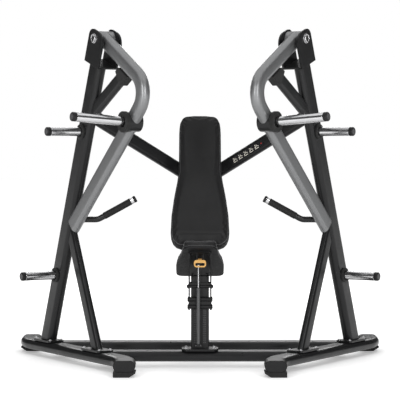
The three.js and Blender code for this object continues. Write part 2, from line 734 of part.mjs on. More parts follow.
function releaseLever() {
  const { y, z, width, height, sideBar, topBar, bottomBar, thickness } = LEVER_LOOP;
  const ring = roundedRect(width, height, 15);
  const windowOutline = roundedRect(width - 2 * sideBar, height - topBar - bottomBar, 6).getPoints(5);
  const windowRise = (bottomBar - topBar) / 2;
  ring.holes.push(new THREE.Path(windowOutline.map((point) => point.setY(point.y + windowRise))));
  const loop = prism(ring, vec(0, y + thickness / 2, z), vec(0, y - thickness / 2, z), UP, 5);
  const [armHalf, boss] = [10, 8];
  const top = z + height / 2;
  const arm = box(vec(-armHalf, y, top - topBar), vec(armHalf, LEVER_PIVOT.y, top));
  const eye = box(
    vec(-armHalf, LEVER_PIVOT.y - boss, LEVER_PIVOT.z - boss),
    vec(armHalf, LEVER_PIVOT.y + boss, LEVER_PIVOT.z + boss),
  );
  return cut(join(loop, arm, eye), leverPinRoom);
}

function leverPin() {
  const [head, headRadius] = [3, 7];
  const half = LEVER_EAR.half + LEVER_EAR.thickness + GAP;
  const length = 2 * (half + head);
  const profile = [
    [0, 0], [headRadius, 0], [headRadius, head], [LEVER_PIN_RADIUS, head],
    [LEVER_PIN_RADIUS, length - head], [headRadius, length - head], [headRadius, length], [0, length],
  ];
  const [from, to] = [-length / 2, length / 2].map((x) => vec(x, LEVER_PIVOT.y, LEVER_PIVOT.z));
  return turned(profile, from, to, 16);
}

// ---------------------------------------------------------------- assembly
const machine = new THREE.Group();

function add(group, name, geometry, material) {
  const mesh = new THREE.Mesh(geometry, material);
  mesh.name = name;
  group.add(mesh);
}

const sidePieces = [
  ["side_rail", rail.geometry, FRAME_PAINT],
  ["rail_front_cap", railCap(1), BLACK_PLASTIC],
  ["rail_rear_cap", railCap(-1), BLACK_PLASTIC],
  ["front_foot", foot(1), RUBBER],
  ["rear_foot", foot(-1), RUBBER],
  ["upright", upright, FRAME_PAINT],
  ["front_leg", frontLeg(), FRAME_PAINT],
  ["pivot_bracket", pivotBracket(), FRAME_PAINT],
  ["pivot_shaft", pivotShaft(), CHROME],
  ["pivot_bush", pivotBush(), BRONZE],
  ["press_arm", pressArm(), ARM_PAINT],
  ["lower_arm", lowerArm(), ARM_PAINT],
  ["loading_collar", loadingCollar(), RUBBER],
  ["loading_horn", loadingHorn(), CHROME],
  ["bumper_strut", bumperStrut(), FRAME_PAINT],
  ["bumper_pad", bumperPad(), RUBBER],
  ["handle_tube", handleTube(), FRAME_PAINT],
  ["hand_grip", handGrip(), RUBBER],
  ["back_brace", backBrace(), FRAME_PAINT],
];
for (const [level, height] of Object.entries(STORAGE_HORN_HEIGHTS)) {
  sidePieces.push([`${level}_storage_horn`, storageHorn(height), CHROME]);
  sidePieces.push([`${level}_storage_collar`, storageCollar(height), RUBBER]);
}

for (const [side, mirror] of [["left", 1], ["right", -1]]) {
  const half = new THREE.Group();
  half.scale.x = mirror;
  for (const [name, geometry, material] of sidePieces) {
    add(half, `${side}_${name}`, geometry, material);
  }
  machine.add(half);
}

add(machine, "front_crossbar", crossbar(FRONT_CROSSBAR_Y), FRAME_PAINT);
add(machine, "rear_crossbar", crossbar(REAR_CROSSBAR_Y), FRAME_PAINT);
add(machine, "back_post", backPost(), FRAME_PAINT);
add(machine, "backrest_bracket", backrestBracket(), FRAME_PAINT);
add(machine, "backrest_pad", backrestPad(), UPHOLSTERY);
add(machine, "seat_column", seatColumn(), FRAME_PAINT);
add(machine, "gas_spring_cylinder", gasSpringCylinder(), BLACK_PLASTIC);
add(machine, "gas_spring_rod", gasSpringRod(), CHROME);
add(machine, "seat_carriage", seatCarriage(), FRAME_PAINT);
add(machine, "seat_bracket", seatBracket(), FRAME_PAINT);
add(machine, "seat_pad", seatPad(), UPHOLSTERY);
add(machine, "release_lever", releaseLever(), LEVER_FINISH);
add(machine, "lever_pin", leverPin(), CHROME);

export default machine;
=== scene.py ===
"""Looks of a plate-loaded chest press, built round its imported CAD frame."""
import json
import math

import bmesh
import bpy
import numpy as np
from mathutils import Matrix, Vector
from mathutils.bvhtree import BVHTree

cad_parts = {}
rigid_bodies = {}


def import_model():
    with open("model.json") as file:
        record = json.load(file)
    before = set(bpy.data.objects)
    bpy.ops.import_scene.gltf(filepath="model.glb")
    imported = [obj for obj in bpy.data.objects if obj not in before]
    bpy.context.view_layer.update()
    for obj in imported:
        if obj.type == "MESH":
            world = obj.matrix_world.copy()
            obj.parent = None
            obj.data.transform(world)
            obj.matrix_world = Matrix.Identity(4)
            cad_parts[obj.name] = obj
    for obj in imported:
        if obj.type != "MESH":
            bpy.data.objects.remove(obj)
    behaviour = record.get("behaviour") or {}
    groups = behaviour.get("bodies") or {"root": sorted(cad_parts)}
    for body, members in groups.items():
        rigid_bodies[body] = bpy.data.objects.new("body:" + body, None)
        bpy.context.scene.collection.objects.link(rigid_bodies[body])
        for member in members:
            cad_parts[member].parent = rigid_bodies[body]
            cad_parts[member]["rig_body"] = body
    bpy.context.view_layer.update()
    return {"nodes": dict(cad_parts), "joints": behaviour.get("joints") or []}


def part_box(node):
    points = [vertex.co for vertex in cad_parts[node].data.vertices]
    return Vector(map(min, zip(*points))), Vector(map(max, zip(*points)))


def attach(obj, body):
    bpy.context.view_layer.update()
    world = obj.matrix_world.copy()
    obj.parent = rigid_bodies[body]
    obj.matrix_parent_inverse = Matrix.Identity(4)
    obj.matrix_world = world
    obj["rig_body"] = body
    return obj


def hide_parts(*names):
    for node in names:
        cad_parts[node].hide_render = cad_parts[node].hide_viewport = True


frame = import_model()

SIDES = ("left", "right")
UP = Vector((0, 0, 1))
MM = 0.001
SHARP = math.radians(30)

# ---------------------------------------------------------------- sizes, in metres
CAMERA = {"y": -9.549, "z": 1.22, "pitch": math.radians(1.786), "lens": 153.0}
EDGE = 1.2 * MM
WELD_RADIUS = 3.2 * MM
HORN_CAP = 24 * MM
PAD_SHRINK = 3.5 * MM
PAD_SWELL = 9 * MM
PAD_PRESSURE = 4
PAD_FRAMES = 20
VOXEL = 6 * MM
BOARD = 9 * MM
BACKREST_CREASE = 82 * MM
PIPING = 2.6 * MM
SLOT_PITCH = 12.5 * MM
SLOT_ROWS = 16
ROLLERS = (
    {"z": 0.449, "reach": 0.074, "radius": 0.009},
    {"z": 0.378, "reach": 0.070, "radius": 0.012},
    {"z": 0.336, "reach": 0.070, "radius": 0.012},
)
HUB_REACH = 61 * MM
FLOOR_RADIUS = 60.0
WORLD_LIGHT = 0.09
PLACARD = {"x": 0.287, "length": 0.262, "height": 0.040, "thickness": 0.0008}


# ---------------------------------------------------------------- materials
class Surface:
    """One procedural material: a Principled shader and short calls that add nodes to it."""

    def __init__(self, name, **socket_shades):
        self.material = bpy.data.materials.new(name)
        self.material.use_nodes = True
        self.nodes = self.material.node_tree.nodes
        self.links = self.material.node_tree.links
        self.shader = self.nodes["Principled BSDF"]
        for socket, value in socket_shades.items():
            self.shader.inputs[socket.replace("_", " ")].default_value = value
        self.place = self.nodes.new("ShaderNodeTexCoord").outputs["Object"]

    def stretched(self, stretch):
        node = self.nodes.new("ShaderNodeMapping")
        node.inputs["Scale"].default_value = stretch
        self.links.new(self.place, node.inputs["Vector"])
        return node.outputs["Vector"]

    def noise(self, scale, detail=2.0, stretch=None):
        node = self.nodes.new("ShaderNodeTexNoise")
        node.inputs["Scale"].default_value = scale
        node.inputs["Detail"].default_value = detail
        self.links.new(self.stretched(stretch) if stretch else self.place, node.inputs["Vector"])
        return node.outputs["Fac"]

    def cells(self, scale, feature="DISTANCE_TO_EDGE", output="Distance"):
        node = self.nodes.new("ShaderNodeTexVoronoi")
        node.feature = feature
        node.inputs["Scale"].default_value = scale
        self.links.new(self.place, node.inputs["Vector"])
        return node.outputs[output]

    def spread(self, value, low, high, start=0.3, end=0.7):
        node = self.nodes.new("ShaderNodeMapRange")
        node.inputs["From Min"].default_value = start
        node.inputs["From Max"].default_value = end
        node.inputs["To Min"].default_value = low
        node.inputs["To Max"].default_value = high
        self.links.new(value, node.inputs["Value"])
        return node.outputs["Result"]

    def colours(self, value, low, high):
        node = self.nodes.new("ShaderNodeMix")
        node.data_type = "RGBA"
        node.inputs["A"].default_value = (*low, 1)
        node.inputs["B"].default_value = (*high, 1)
        self.links.new(value, node.inputs["Factor"])
        self.links.new(node.outputs["Result"], self.shader.inputs["Base Color"])

    def roughness(self, value):
        self.links.new(value, self.shader.inputs["Roughness"])

    def bump(self, height, distance, strength=1.0):
        node = self.nodes.new("ShaderNodeBump")
        node.inputs["Strength"].default_value = strength
        node.inputs["Distance"].default_value = distance
        self.links.new(height, node.inputs["Height"])
        before = self.shader.inputs["Normal"].links
        if before:
            self.links.new(before[0].from_socket, node.inputs["Normal"])
        self.links.new(node.outputs["Normal"], self.shader.inputs["Normal"])


def painted(name, dark, light, metallic, rough, flake):
    """Powder coat: orange peel, cloudy gloss and metal flakes that differ in brightness."""
    surface = Surface(name, Metallic=metallic, Specular_IOR_Level=0.32, Coat_Weight=0.06, Coat_Roughness=0.2)
    surface.colours(surface.spread(surface.noise(flake, 1), 0, 1), dark, light)
    surface.roughness(surface.spread(surface.noise(14, 4), rough - 0.05, rough + 0.06))
    surface.bump(surface.noise(420, 2), 0.00012, 0.5)
    return surface.material


def chrome():
    surface = Surface("chrome_plate", Metallic=1.0)
    surface.colours(surface.noise(9, 3), (0.52, 0.52, 0.53), (0.68, 0.68, 0.69))
    surface.roughness(surface.spread(surface.noise(60, 5, (1, 1, 9)), 0.10, 0.24))
    surface.bump(surface.noise(900, 2, (1, 1, 6)), 0.00003, 0.3)
    return surface.material


def zinc():
    surface = Surface("zinc_bolt", Metallic=0.95)
    surface.colours(surface.noise(160, 3), (0.42, 0.42, 0.43), (0.68, 0.68, 0.69))
    surface.roughness(surface.spread(surface.noise(240, 3), 0.24, 0.42))
    return surface.material


def bronze():
    surface = Surface("bearing_bronze", Metallic=0.95)
    surface.colours(surface.noise(80, 3), (0.32, 0.20, 0.08), (0.52, 0.34, 0.14))
    surface.roughness(surface.spread(surface.noise(200, 3), 0.3, 0.5))
    return surface.material


def plastic():
    surface = Surface("moulded_plastic", Specular_IOR_Level=0.26)
    surface.colours(surface.noise(30, 3), (0.0045, 0.0045, 0.0050), (0.0095, 0.0095, 0.0100))
    surface.roughness(surface.spread(surface.noise(90, 3), 0.42, 0.58))
    surface.bump(surface.noise(1500, 2), 0.00010, 0.5)
    return surface.material


def rubber():
    surface = Surface("black_rubber", Specular_IOR_Level=0.3, Sheen_Weight=0.06)
    surface.colours(surface.noise(26, 4), (0.0055, 0.0055, 0.0055), (0.0125, 0.0125, 0.0120))
    surface.roughness(surface.spread(surface.noise(120, 3), 0.62, 0.82))
    surface.bump(surface.noise(1100, 3), 0.00016, 0.6)
    return surface.material


def grip_foam():
    surface = Surface("grip_rubber", Specular_IOR_Level=0.3)
    surface.colours(surface.noise(40, 3), (0.0055, 0.0055, 0.0055), (0.0120, 0.0120, 0.0120))
    surface.roughness(surface.spread(surface.noise(150, 3), 0.6, 0.78))
    surface.bump(surface.cells(620), 0.00035, 0.7)
    return surface.material


def leather():
    """Artificial leather: pebbled grain, slow cloudy gloss and fine creases."""
    surface = Surface("black_leather", Specular_IOR_Level=0.26, Sheen_Weight=0.03)
    surface.colours(surface.noise(7, 5), (0.0050, 0.0050, 0.0053), (0.0105, 0.0105, 0.0110))
    surface.roughness(surface.spread(surface.noise(18, 4), 0.46, 0.62))
    surface.bump(surface.cells(520), 0.00035, 0.55)
    surface.bump(surface.noise(55, 5), 0.0008, 0.25)
    return surface.material


def flat_finish(name, low, high, rough, metallic=0.0):
    surface = Surface(name, Metallic=metallic)
    surface.colours(surface.noise(120, 3), low, high)
    surface.roughness(surface.spread(surface.noise(60, 3), rough - 0.06, rough + 0.06))
    return surface.material


FRAME_PAINT = painted(
    "frame_powder_coat", (0.0070, 0.0071, 0.0075), (0.0145, 0.0148, 0.0155), 0.25, 0.32, 700
)
ARM_PAINT = painted("arm_powder_coat", (0.175, 0.177, 0.180), (0.250, 0.253, 0.257), 0.7, 0.36, 1400)
# A darker copy of the frame paint: painted shade for the seat post, carriage and seat bracket, which sit in
# shadow below the seat.
POST_PAINT_SHADED = painted(
    "post_coat_painted_shade", (0.0040, 0.0041, 0.0044), (0.0095, 0.0097, 0.0102), 0.2, 0.42, 700
)
LEVER_PAINT = painted("lever_enamel", (0.50, 0.27, 0.07), (0.66, 0.39, 0.13), 0.15, 0.34, 500)
CHROME = chrome()
ZINC = zinc()
BRONZE = bronze()
PLASTIC = plastic()
RUBBER = rubber()
GRIP = grip_foam()
LEATHER = leather()
# Piping colour is far lighter than the leather: a painted highlight standing in for the glint along glossy
# piping.
PIPING_HIGHLIGHT = flat_finish("piping_with_painted_highlight", (0.050, 0.050, 0.052), (0.075, 0.075, 0.078), 0.36)
GREY_FACE = flat_finish("cap_face", (0.045, 0.045, 0.047), (0.075, 0.075, 0.078), 0.45)
BARREL_GREY = flat_finish("gas_spring_enamel", (0.055, 0.056, 0.058), (0.085, 0.086, 0.088), 0.34, 0.2)
# Black discs and plates set in recesses and slots: painted shade where the hollows would fall dark.
RECESS_SHADE_BLACK = flat_finish("painted_recess_shade", (0.004, 0.004, 0.004), (0.009, 0.009, 0.009), 0.6)
PLACARD_BLACK = flat_finish("placard_black", (0.006, 0.006, 0.007), (0.010, 0.010, 0.011), 0.22)
PLACARD_MARK = flat_finish("placard_mark", (0.52, 0.49, 0.42), (0.72, 0.69, 0.62), 0.4)
PLACARD_RED = flat_finish("placard_red", (0.45, 0.02, 0.02), (0.60, 0.04, 0.03), 0.4)


# ---------------------------------------------------------------- making pieces
def make(name, bm, body, material, replaces=(), sharp=SHARP):
    """Turns a bmesh into a shown piece that rides on a CAD body."""
    for face in bm.faces:
        face.smooth = True
    mesh = bpy.data.meshes.new(name)
    bm.to_mesh(mesh)
    bm.free()
    mesh.set_sharp_from_angle(angle=sharp)
    mesh.materials.append(material)
    piece = bpy.data.objects.new(name, mesh)
    bpy.context.scene.collection.objects.link(piece)
    even = piece.modifiers.new("even_shading", "WEIGHTED_NORMAL")
    even.keep_sharp = True
    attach(piece, body)
    if replaces:
        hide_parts(*replaces)
    return piece


def cad_solid(node):
    """A CAD node's mesh with its corners joined and its flat faces made whole."""
    bm = bmesh.new()
    bm.from_mesh(frame["nodes"][node].data)
    bmesh.ops.remove_doubles(bm, verts=bm.verts, dist=0.02 * MM)
    bmesh.ops.dissolve_limit(bm, angle_limit=math.radians(1), verts=bm.verts, edges=bm.edges)
    bm.normal_update()
    return bm


def corners(node):
    found = {tuple(round(c, 6) for c in v.co) for v in frame["nodes"][node].data.vertices}
    return np.array(sorted(found))


def body_of(node):
    return frame["nodes"][node]["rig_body"]


def is_sharp(edge):
    return len(edge.link_faces) == 2 and edge.calc_face_angle(0) > SHARP


def skin(node, material, width=EDGE, segments=2):
    """The CAD node's own shape with its edges rounded off."""
    bm = cad_solid(node)
    edges = [e for e in bm.edges if is_sharp(e)]
    bmesh.ops.bevel(
        bm, geom=edges, offset=width, segments=segments, profile=0.5, affect="EDGES", clamp_overlap=True
    )
    return make(f"{node}_skin", bm, body_of(node), material, [node], math.radians(40))


def axis_of(node, hint, flat=False):
    """Start, unit axis and length of a turned CAD node; the axis points the way that hint does."""
    points = corners(node)
    middle = points.mean(0)
    _, vectors = np.linalg.eigh(np.cov((points - middle).T))
    axis = vectors[:, 0 if flat else 2]
    if axis @ np.array(hint) < 0:
        axis = -axis
    along = (points - middle) @ axis
    start = middle + axis * along.min()
    return Vector(start), Vector(axis), float(along.max() - along.min())


def rounded(profile, radius, steps=4):
    """A profile with its inner corners turned into short curves."""
    made = [profile[0]]
    for before, corner, after in zip(profile, profile[1:], profile[2:]):
        c = Vector(corner)
        to_before = Vector(before) - c
        to_after = Vector(after) - c
        reach = min(radius, to_before.length * 0.45, to_after.length * 0.45)
        a = c + to_before.normalized() * reach
        b = c + to_after.normalized() * reach
        for i in range(steps + 1):
            t = i / steps
            made.append(tuple(a * (1 - t) ** 2 + c * 2 * t * (1 - t) + b * t**2))
    made.append(profile[-1])
    return made


def turned(profile, start, axis, segments=48, closed=False):
    """A bmesh of [radius, distance] points turned about the line from start along axis."""
    bm = bmesh.new()
    turn = UP.rotation_difference(axis).to_matrix()
    rings = []
    for radius, distance in profile:
        count = 1 if radius < 1e-7 else segments
        ring = []
        for i in range(count):
            angle = math.tau * i / segments
            point = Vector((radius * math.cos(angle), radius * math.sin(angle), distance))
            ring.append(bm.verts.new(start + turn @ point))
        rings.append(ring)
    if closed:
        rings.append(rings[0])
    for low, high in zip(rings, rings[1:]):
        for i in range(segments):
            j = (i + 1) % segments
            quad = [low[i % len(low)], low[j % len(low)], high[j % len(high)], high[i % len(high)]]
            face = list(dict.fromkeys(quad))
            if len(face) > 2:
                bm.faces.new(face)
    bmesh.ops.recalc_face_normals(bm, faces=bm.faces)
    return bm


def added(*parts):
    """Several bmeshes as one."""
    whole = parts[0]
    for part in parts[1:]:
        mesh = bpy.data.meshes.new("part")
        part.to_mesh(mesh)
        part.free()
        whole.from_mesh(mesh)
        bpy.data.meshes.remove(mesh)
    return whole


def across(axis):
    """Two unit vectors at right angles to axis and to each other."""
    side = axis.cross(UP)
    if side.length < 0.1:
        side = axis.cross(Vector((1, 0, 0)))
    side.normalize()
    return side, side.cross(axis).normalized()


def swept(points, radius_at, sides):
    """A tube whose radius follows radius_at(distance) along a closed line of points."""
    bm = bmesh.new()
    count = len(points)
    rings = []
    distance = 0
    side = None
    for i, point in enumerate(points):
        after = points[(i + 1) % count]
        before = points[i - 1]
        tangent = (after - before).normalized()
        if side is None:
            side = across(tangent)[0]
        side = (side - tangent * side.dot(tangent)).normalized()
        other = tangent.cross(side)
        radius = radius_at(distance)
        ring = []
        for k in range(sides):
            angle = math.tau * k / sides
            ring.append(bm.verts.new(point + (side * math.cos(angle) + other * math.sin(angle)) * radius))
        rings.append(ring)
        distance += (after - point).length
    for low, high in zip(rings, rings[1:] + rings[:1]):
        for k in range(sides):
            j = (k + 1) % sides
            bm.faces.new([low[k], low[j], high[j], high[k]])
    bmesh.ops.recalc_face_normals(bm, faces=bm.faces)
    return bm


def spaced(points, step):
    """The closed line of points again, with even spacing of about step."""
    line = [*points, points[0]]
    lengths = [(b - a).length for a, b in zip(line, line[1:])]
    total = sum(lengths)
    count = max(8, round(total / step))
    made = []
    index = 0
    passed = 0.0
    for i in range(count):
        goal = total * i / count
        while passed + lengths[index] < goal:
            passed += lengths[index]
            index += 1
        share = (goal - passed) / max(lengths[index], 1e-9)
        made.append(line[index].lerp(line[index + 1], share))
    return made


def sharp_loops(bm):
    """The closed lines of sharp edges, each as its points and whether it is an inside corner."""
    edges = {e for e in bm.edges if is_sharp(e)}
    joined = {}
    for edge in edges:
        for vert in edge.verts:
            joined.setdefault(vert, []).append(edge)
    loops = []
    while edges:
        edge = edges.pop()
        start, here = edge.verts
        line = [start, here]
        hollow = [not edge.is_convex]
        while here is not start and len(joined[here]) == 2:
            left = [e for e in joined[here] if e in edges]
            if not left:
                break
            edges.discard(left[0])
            hollow.append(not left[0].is_convex)
            here = left[0].other_vert(here)
            line.append(here)
        if here is start and len(line) > 6:
            loops.append(([v.co.copy() for v in line[:-1]], sum(hollow) > len(hollow) / 2))
    return loops


def tree_of(node):
    bm = bmesh.new()
    bm.from_mesh(frame["nodes"][node].data)
    tree = BVHTree.FromBMesh(bm)
    bm.free()
    return tree


def ripple(distance):
    return WELD_RADIUS * (0.86 + 0.14 * abs(math.sin(distance / (2.6 * MM))))


def welds(node, neighbours=(), material=FRAME_PAINT):
    """A rippled bead along each line where the node meets a neighbour, or its tube meets its plate."""
    bm = cad_solid(node)
    trees = [tree_of(n) for n in neighbours]
    beads = []
    for points, hollow in sharp_loops(bm):
        near = any(
            np.mean([tree.find_nearest(p)[3] < 2.5 * MM for p in points]) > 0.8 for tree in trees
        )
        if hollow or near:
            beads.append(swept(spaced(points, 2.2 * MM), ripple, 6))
    bm.free()
    if beads:
        make(f"{node}_weld", added(*beads), body_of(node), material, sharp=math.radians(80))


def domed_bolt(start, axis, radius, height):
    """A domed socket-head bolt on its washer, standing on start."""
    base = 1.6 * MM
    ring = [(0, 0), (radius * 1.55, 0), (radius * 1.55, base), (0, base)]
    washer = turned(rounded(ring, 0.4 * MM, 2), start, axis, 28)
    dome = [
        (0, base + height * 0.35), (radius * 0.45, base + height * 0.35),
        (radius * 0.52, base + height * 0.96), (radius * 0.75, base + height * 0.9),
        (radius, base + height * 0.45), (radius, base), (0, base),
    ]
    return added(washer, turned(rounded(dome, 0.5 * MM, 2), start, axis, 24))


def plate(outline, origin, x_axis, y_axis, thickness):
    """A flat plate: an outline of (x, y) points on the plane at origin, raised by thickness."""
    bm = bmesh.new()
    normal = x_axis.cross(y_axis).normalized()
    low = [bm.verts.new(origin + x_axis * x + y_axis * y) for x, y in outline]
    high = [bm.verts.new(v.co + normal * thickness) for v in low]
    bm.faces.new(low[::-1])
    bm.faces.new(high)
    for i in range(len(low)):
        j = (i + 1) % len(low)
        bm.faces.new([low[i], low[j], high[j], high[i]])
    bmesh.ops.recalc_face_normals(bm, faces=bm.faces)
    return bm


def ring_points(radius, count):
    """Points (x, y) evenly spaced round a circle."""
    angles = [i * math.tau / count for i in range(count)]
    return [(radius * math.cos(angle), radius * math.sin(angle)) for angle in angles]


def rounded_outline(width, height, radius, steps=5):
    points = []
    for quarter in range(4):
        x = (width / 2 - radius) * (1 if quarter in (0, 3) else -1)
        y = (height / 2 - radius) * (1 if quarter < 2 else -1)
        for i in range(steps + 1):
            angle = math.pi / 2 * (quarter + i / steps)
            points.append((x + radius * math.cos(angle), y + radius * math.sin(angle)))
    return points


# ---------------------------------------------------------------- frame tubes, plates and welds
def side_axes(side):
    """Unit vectors of a side frame: forwards along its plane, and inwards."""
    joint = next(j for j in frame["joints"] if j["name"] == f"{side}_arm_hinge")
    inward = Vector(joint["axis"]).normalized()
    if inward.x * (1 if side == "right" else -1) > 0:
        inward = -inward
    forward = inward.cross(UP)
    if forward.y > 0:
        forward = -forward
    return forward.normalized(), inward


def base_bolts(node, x_axis, y_axis, inset, radius=8 * MM):
    """Four bolts at the corners of a node's base plate, on the plate's top face."""
    low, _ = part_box(node)
    points = [Vector(p) for p in corners(node) if p[2] < low.z + 13 * MM]
    top = max(p.z for p in points)
    xs = [p.dot(x_axis) for p in points]
    ys = [p.dot(y_axis) for p in points]
    bolts = []
    for x in (min(xs) + inset, max(xs) - inset):
        for y in (min(ys) + inset, max(ys) - inset):
            place = x_axis * x + y_axis * y + UP * top
            bolts.append(domed_bolt(place, UP, radius, 6 * MM))
    make(f"{node}_bolts", added(*bolts), "frame", ZINC)


def build_frame():
    for side in SIDES:
        forward, inward = side_axes(side)
        for name in ("side_rail", "upright", "front_leg", "pivot_bracket", "bumper_strut", "back_brace"):
            skin(f"{side}_{name}", FRAME_PAINT)
        welds(f"{side}_upright", [f"{side}_pivot_bracket"])
        welds(f"{side}_front_leg", [f"{side}_upright"])
        welds(f"{side}_bumper_strut", [f"{side}_upright"])
        welds(f"{side}_back_brace", [f"{side}_upright", "back_post"])
        base_bolts(f"{side}_upright", forward, inward, 15 * MM)
        base_bolts(f"{side}_front_leg", forward, inward, 15 * MM)
        for name in ("rail_front_cap", "rail_rear_cap"):
            skin(f"{side}_{name}", PLASTIC, 3 * MM, 3)
        for name in ("front_foot", "rear_foot"):
            skin(f"{side}_{name}", RUBBER, 3 * MM, 3)
        skin(f"{side}_bumper_pad", RUBBER, 3 * MM, 3)
    for name in ("front_crossbar", "rear_crossbar"):
        skin(name, FRAME_PAINT)
        welds(name, ["left_side_rail", "right_side_rail"])
    for name in ("back_post", "backrest_bracket"):
        skin(name, FRAME_PAINT)
        welds(name, ["back_post"] if name == "backrest_bracket" else [])
    # The seat post, carriage and seat bracket get the darker copy of the frame paint: painted shade.
    skin("seat_column", POST_PAINT_SHADED)
    welds("seat_column")
    end_cap("back_post", UP, "frame")
    for name in ("seat_carriage", "seat_bracket"):
        skin(name, POST_PAINT_SHADED)


# ---------------------------------------------------------------- turned parts
def horn(node, collar, body):
    """A chrome plate horn: a black end cap with a grey face, and a rubber disc at its root."""
    out = (1 if node.startswith("right") else -1, 0, 0)
    start, axis, length = axis_of(node, out)
    radius = max((Vector(p) - start).cross(axis).length for p in corners(node))
    steel = length - HORN_CAP
    tube = [(0, 0), (radius, 0), (radius, steel - 0.6 * MM), (radius - 1.5 * MM, steel), (0, steel)]
    make(f"{node}_steel", turned(rounded(tube, 0.8 * MM), start, axis, 64), body, CHROME, [node])
    cap = [
        (0, steel), (radius - 0.2 * MM, steel), (radius - 0.2 * MM, length - 5 * MM),
        (radius - 4 * MM, length - 0.6 * MM), (radius - 7 * MM, length - 0.6 * MM),
        (radius - 8 * MM, length - 1.6 * MM), (0, length - 1.6 * MM),
    ]
    make(f"{node}_cap", turned(rounded(cap, 1.5 * MM), start, axis, 64), body, PLASTIC)
    face = [(0, length - 2 * MM), (radius - 9 * MM, length - 2 * MM), (radius - 9.5 * MM, length - 1.2 * MM)]
    face.append((0, length - 0.9 * MM))
    made = turned(rounded(face, 0.4 * MM), start, axis, 48)
    make(f"{node}_cap_face", made, body, GREY_FACE)
    base, collar_axis, thick = axis_of(collar, out, flat=True)
    far = [(Vector(p) - base).cross(collar_axis).length for p in corners(collar)]
    outer, inner = max(far), min(far)
    disc = [
        (inner, 0), (outer - 1 * MM, 0), (outer, 2 * MM), (outer, thick - 3 * MM), (outer - 4 * MM, thick),
        (outer - 12 * MM, thick), (outer - 13 * MM, thick - 1.4 * MM), (inner + 3 * MM, thick - 1.4 * MM),
        (inner, thick - 3 * MM), (inner, 0),
    ]
    ring = turned(rounded(disc, 0.9 * MM)[:-1], base, collar_axis, 72, closed=True)
    make(f"{collar}_disc", ring, body, RUBBER, [collar])


def pivot(side):
    """The arm's pivot: a polished shaft with sunk heads, its bronze bush, and a washer at each end."""
    out = Vector((1 if side == "right" else -1, 0, 0))
    node = f"{side}_pivot_shaft"
    start, axis, length = axis_of(node, out)
    head, wide, narrow = 11 * MM, 23 * MM, 17.5 * MM
    half = [(0, 4), (14.5, 4), (16, 0.5), (20.5, 0), (23, 2.5), (23, 11), (17.5, 11)]
    near = [(r * MM, h * MM) for r, h in half]
    far = [(r, length - h) for r, h in reversed(near)]
    shaft = turned(rounded(near + far, 0.7 * MM), start, axis, 64)
    make(f"{node}_steel", shaft, "frame", CHROME, [node])
    # A black disc near the floor of each head's recess: painted shade in the socket.
    socket_shades = []
    for place, way in ((start, axis), (start + axis * length, -axis)):
        disc = [(0, 3.2), (14.2, 3.2), (14.2, 3.8), (0, 3.8)]
        socket_shades.append(turned([(r * MM, h * MM) for r, h in disc], place, way, 32))
    make(f"{node}_sockets", added(*socket_shades), "frame", RECESS_SHADE_BLACK)
    bush = f"{side}_pivot_bush"
    base, bush_axis, bush_length = axis_of(bush, out)
    sleeve = [(narrow + 0.5 * MM, 0), (wide, 0), (wide, bush_length), (narrow + 0.5 * MM, bush_length)]
    sleeve.append(sleeve[0])
    ring = turned(rounded(sleeve, 0.8 * MM)[:-1], base, bush_axis, 56, closed=True)
    make(f"{bush}_sleeve", ring, f"{side}_arm", BRONZE, [bush])
    washers = []
    for place in (start + axis * (head - 1.4 * MM), start + axis * (length - head + 0.2 * MM)):
        inner, outer = wide - 2 * MM, wide + 5 * MM
        profile = [(inner, 0), (outer, 0), (outer, 1.2 * MM), (inner, 1.2 * MM), (inner, 0)]
        washers.append(turned(rounded(profile, 0.3 * MM, 2)[:-1], place, axis, 48, closed=True))
    make(f"{side}_pivot_washers", added(*washers), "frame", ZINC)


def grip(side):
    """The hand grip: ribbed rubber, a bright ring near its tip, and a cap on the end of the tube."""
    body = f"{side}_arm"
    node = f"{side}_hand_grip"
    inboard = (-1 if side == "right" else 1, 0, 0)
    start, axis, length = axis_of(node, inboard)
    far = [(Vector(p) - start).cross(axis).length for p in corners(node)]
    outer, inner = max(far), min(far)
    ring_at = length - 12 * MM
    profile = [(inner, 0), (outer - 1.5 * MM, 0), (outer, 3 * MM)]
    ribs = 26
    for i in range(ribs):
        middle = 8 * MM + (ring_at - 16 * MM) * i / (ribs - 1)
        profile += [(outer, middle - 2 * MM), (outer - 0.7 * MM, middle), (outer, middle + 2 * MM)]
    profile += [(outer, ring_at), (inner, ring_at), (inner, 0)]
    sleeve = turned(rounded(profile, 0.8 * MM, 2)[:-1], start, axis, 48, closed=True)
    make(f"{node}_rubber", sleeve, body, GRIP, [node])
    band = [(inner, 0), (outer, 0), (outer, 18 * MM), (inner, 18 * MM), (inner, 0)]
    place = start + axis * (ring_at + 1 * MM)
    ring = turned(rounded(band, 0.9 * MM)[:-1], place, axis, 48, closed=True)
    make(f"{side}_grip_ring", ring, body, CHROME)
    tube_end = max(Vector(p).dot(axis) for p in corners(f"{side}_handle_tube"))
    end = start + axis * (tube_end - start.dot(axis))
    cap = [(0, -14 * MM), (outer - 0.3 * MM, -14 * MM), (outer - 0.3 * MM, -2 * MM), (0, 0)]
    make(f"{side}_grip_cap", turned(rounded(cap, 2 * MM), end, axis, 48), body, PLASTIC)


def blacken_hub(arm, horn_node):
    """The hub's own faces, which lie close round the loading horn's axis, are black."""
    start, axis, _ = axis_of(horn_node, (1, 0, 0))
    arm.data.materials.append(FRAME_PAINT)
    for polygon in arm.data.polygons:
        far = [(arm.data.vertices[i].co - start).cross(axis).length for i in polygon.vertices]
        if max(far) < HUB_REACH:
            polygon.material_index = 1


